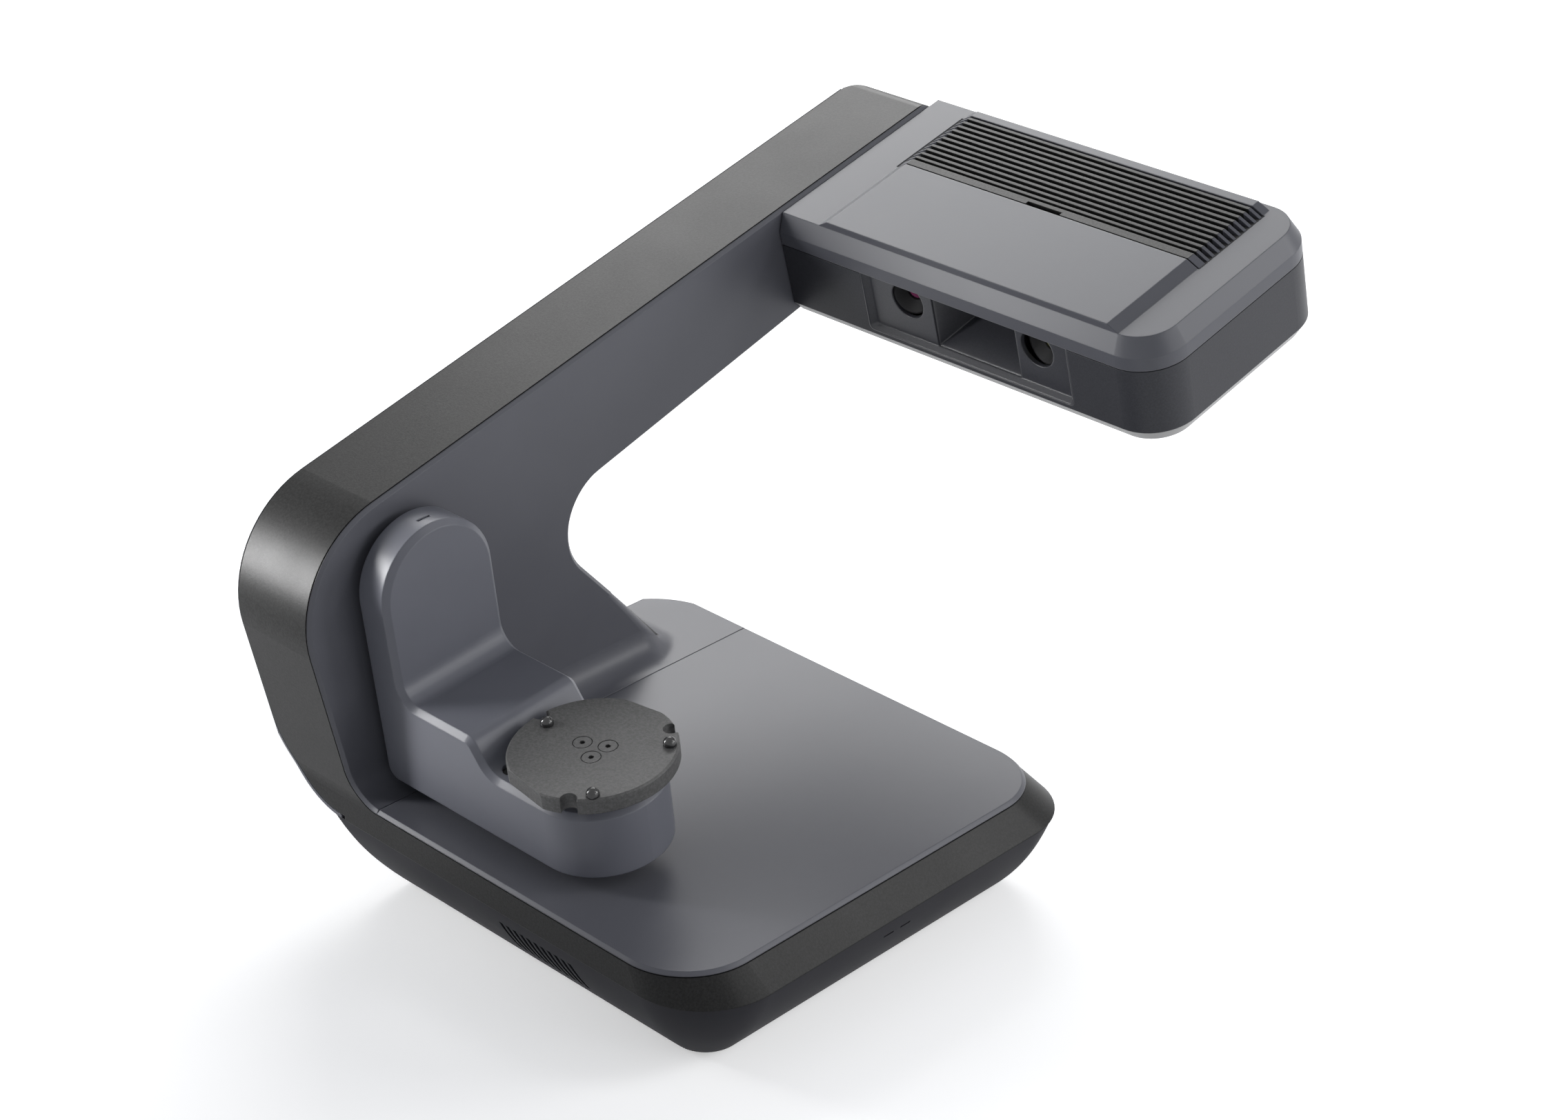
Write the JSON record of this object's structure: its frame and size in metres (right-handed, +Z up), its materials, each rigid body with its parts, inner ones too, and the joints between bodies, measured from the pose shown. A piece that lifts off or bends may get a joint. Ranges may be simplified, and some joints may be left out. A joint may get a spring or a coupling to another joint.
{
  "type": "desktop three-dimensional scanner",
  "caption": "Desktop scanner with a C-shaped stand, a two-camera scan head on the upper arm and a belt-driven tilting swing arm carrying a turntable",
  "frame": {"origin": "middle of the overall bounding box's underside, on the plane the rubber feet stand on", "axes": "+X from the stand towards the free end of the head, +Y from the front to the back, +Z up"},
  "size_m": [0.2978, 0.4478, 0.309],
  "materials": {
    "cover_grey": "satin fine-textured paint",
    "band_dark": "fine speckled texture",
    "shell_black": "smooth satin",
    "arm_grey": "satin fine-textured paint",
    "head_dark": "fine texture",
    "trim_light": "satin",
    "slat_grey": "satin",
    "inner_black": "matt",
    "disc_black": "black anodised, blasted",
    "ball_dark": "black oxide, polished",
    "screw_black": "dark anodised, blasted",
    "screw_steel": "plated",
    "plate_steel": "zinc plated sheet",
    "alloy": "milled",
    "motor_paint": "satin",
    "rubber_black": "matt",
    "board_green": "solder mask",
    "socket_black": "gloss",
    "glass_magenta": "coated lens",
    "glass_amber": "coated lens",
    "glass_clear": "coated lens"
  },
  "bodies": {
    "stand": {"ballast_plate": "plate_steel", "base_fan_housing": "inner_black", "base_top_plate": "cover_grey", "bottom_shell": "shell_black", "c_inner_cover": "cover_grey", "c_outer_cover": "cover_grey", "control_board": "board_green", "data_socket": "plate_steel", "feet": "rubber_black", "grille_backing": "inner_black", "head_base_pan": "trim_light", "head_board": "board_green", "head_fan_housing": "inner_black", "head_grille": "slat_grey", "head_lower_housing": "head_dark", "head_mount_bracket": "plate_steel", "head_pan_screws": "screw_steel", "head_top_cover": "cover_grey", "heat_sink": "alloy", "left_camera_barrel": "inner_black", "left_camera_body": "motor_paint", "left_camera_glass": "glass_magenta", "optical_bench": "alloy", "power_inlet": "socket_black", "power_supply": "alloy", "projector_body": "motor_paint", "projector_lens": "glass_clear", "projector_shroud": "head_dark", "right_camera_barrel": "inner_black", "right_camera_body": "motor_paint", "right_camera_glass": "glass_amber", "shell_screws": "screw_steel", "socket_panel": "inner_black", "spine_frame": "plate_steel", "stand_band": "band_dark", "switch_frame": "socket_black", "tilt_bearing_block": "alloy", "tilt_belt": "rubber_black", "tilt_motor": "motor_paint", "window_frame": "head_dark"},
    "swing_arm": {"swing_shell": "arm_grey", "swing_back_cover": "arm_grey", "swing_bottom_cover": "shell_black", "back_cover_screws": "screw_steel", "arm_cap": "inner_black", "table_bearing": "alloy", "table_motor": "motor_paint", "table_belt": "rubber_black", "tilt_shaft": "plate_steel", "tilt_pulley": "alloy"},
    "turntable": {"turntable_disc": "disc_black", "disc_balls": "ball_dark", "disc_screws": "screw_black", "table_spindle": "plate_steel", "table_pulley": "alloy"},
    "table_motor_rotor": {"table_pinion": "alloy"},
    "tilt_motor_rotor": {"tilt_pinion": "alloy"},
    "base_fan": {"base_fan_rotor": "inner_black"},
    "head_fan": {"head_fan_rotor": "inner_black"},
    "power_switch": {"switch_rocker": "socket_black"}
  },
  "joints": [
    {"name": "arm_tilt", "type": "hinge", "parent": "stand", "child": "swing_arm", "pos_m": [-0.08755, -0.16445, 0.16982], "axis": [1, 0, 0], "range_deg": [-51.1, 38.9]},
    {"name": "tilt_drive", "type": "hinge", "parent": "stand", "child": "tilt_motor_rotor", "pos_m": [-0.11495, -0.14137, 0.104], "axis": [1, 0, 0], "range_deg": [-206, 158]},
    {"name": "turntable_spin", "type": "hinge", "parent": "swing_arm", "child": "turntable", "pos_m": [0.02815, -0.15917, 0.1204], "axis": [0, -0.1063, 0.9943], "continuous": true},
    {"name": "table_drive", "type": "hinge", "parent": "swing_arm", "child": "table_motor_rotor", "pos_m": [-0.03385, -0.15523, 0.08361], "axis": [0, -0.1063, 0.9943], "continuous": true},
    {"name": "base_fan_spin", "type": "hinge", "parent": "stand", "child": "base_fan", "pos_m": [0.03125, -0.16487, 0.029], "axis": [0, 1, 0], "continuous": true},
    {"name": "head_fan_spin", "type": "hinge", "parent": "stand", "child": "head_fan", "pos_m": [0.10055, 0.18065, 0.29206], "axis": [0, -0.2441, 0.9697], "continuous": true},
    {"name": "power_rocker", "type": "hinge", "parent": "stand", "child": "power_switch", "pos_m": [0.09355, 0.02663, 0.024], "axis": [1, 0, 0], "range_deg": [-5, 5]}
  ],
  "couplings": [
    {"joint": "tilt_drive", "follows": "arm_tilt", "ratio": 4},
    {"joint": "table_drive", "follows": "turntable_spin", "ratio": 3}
  ]
}
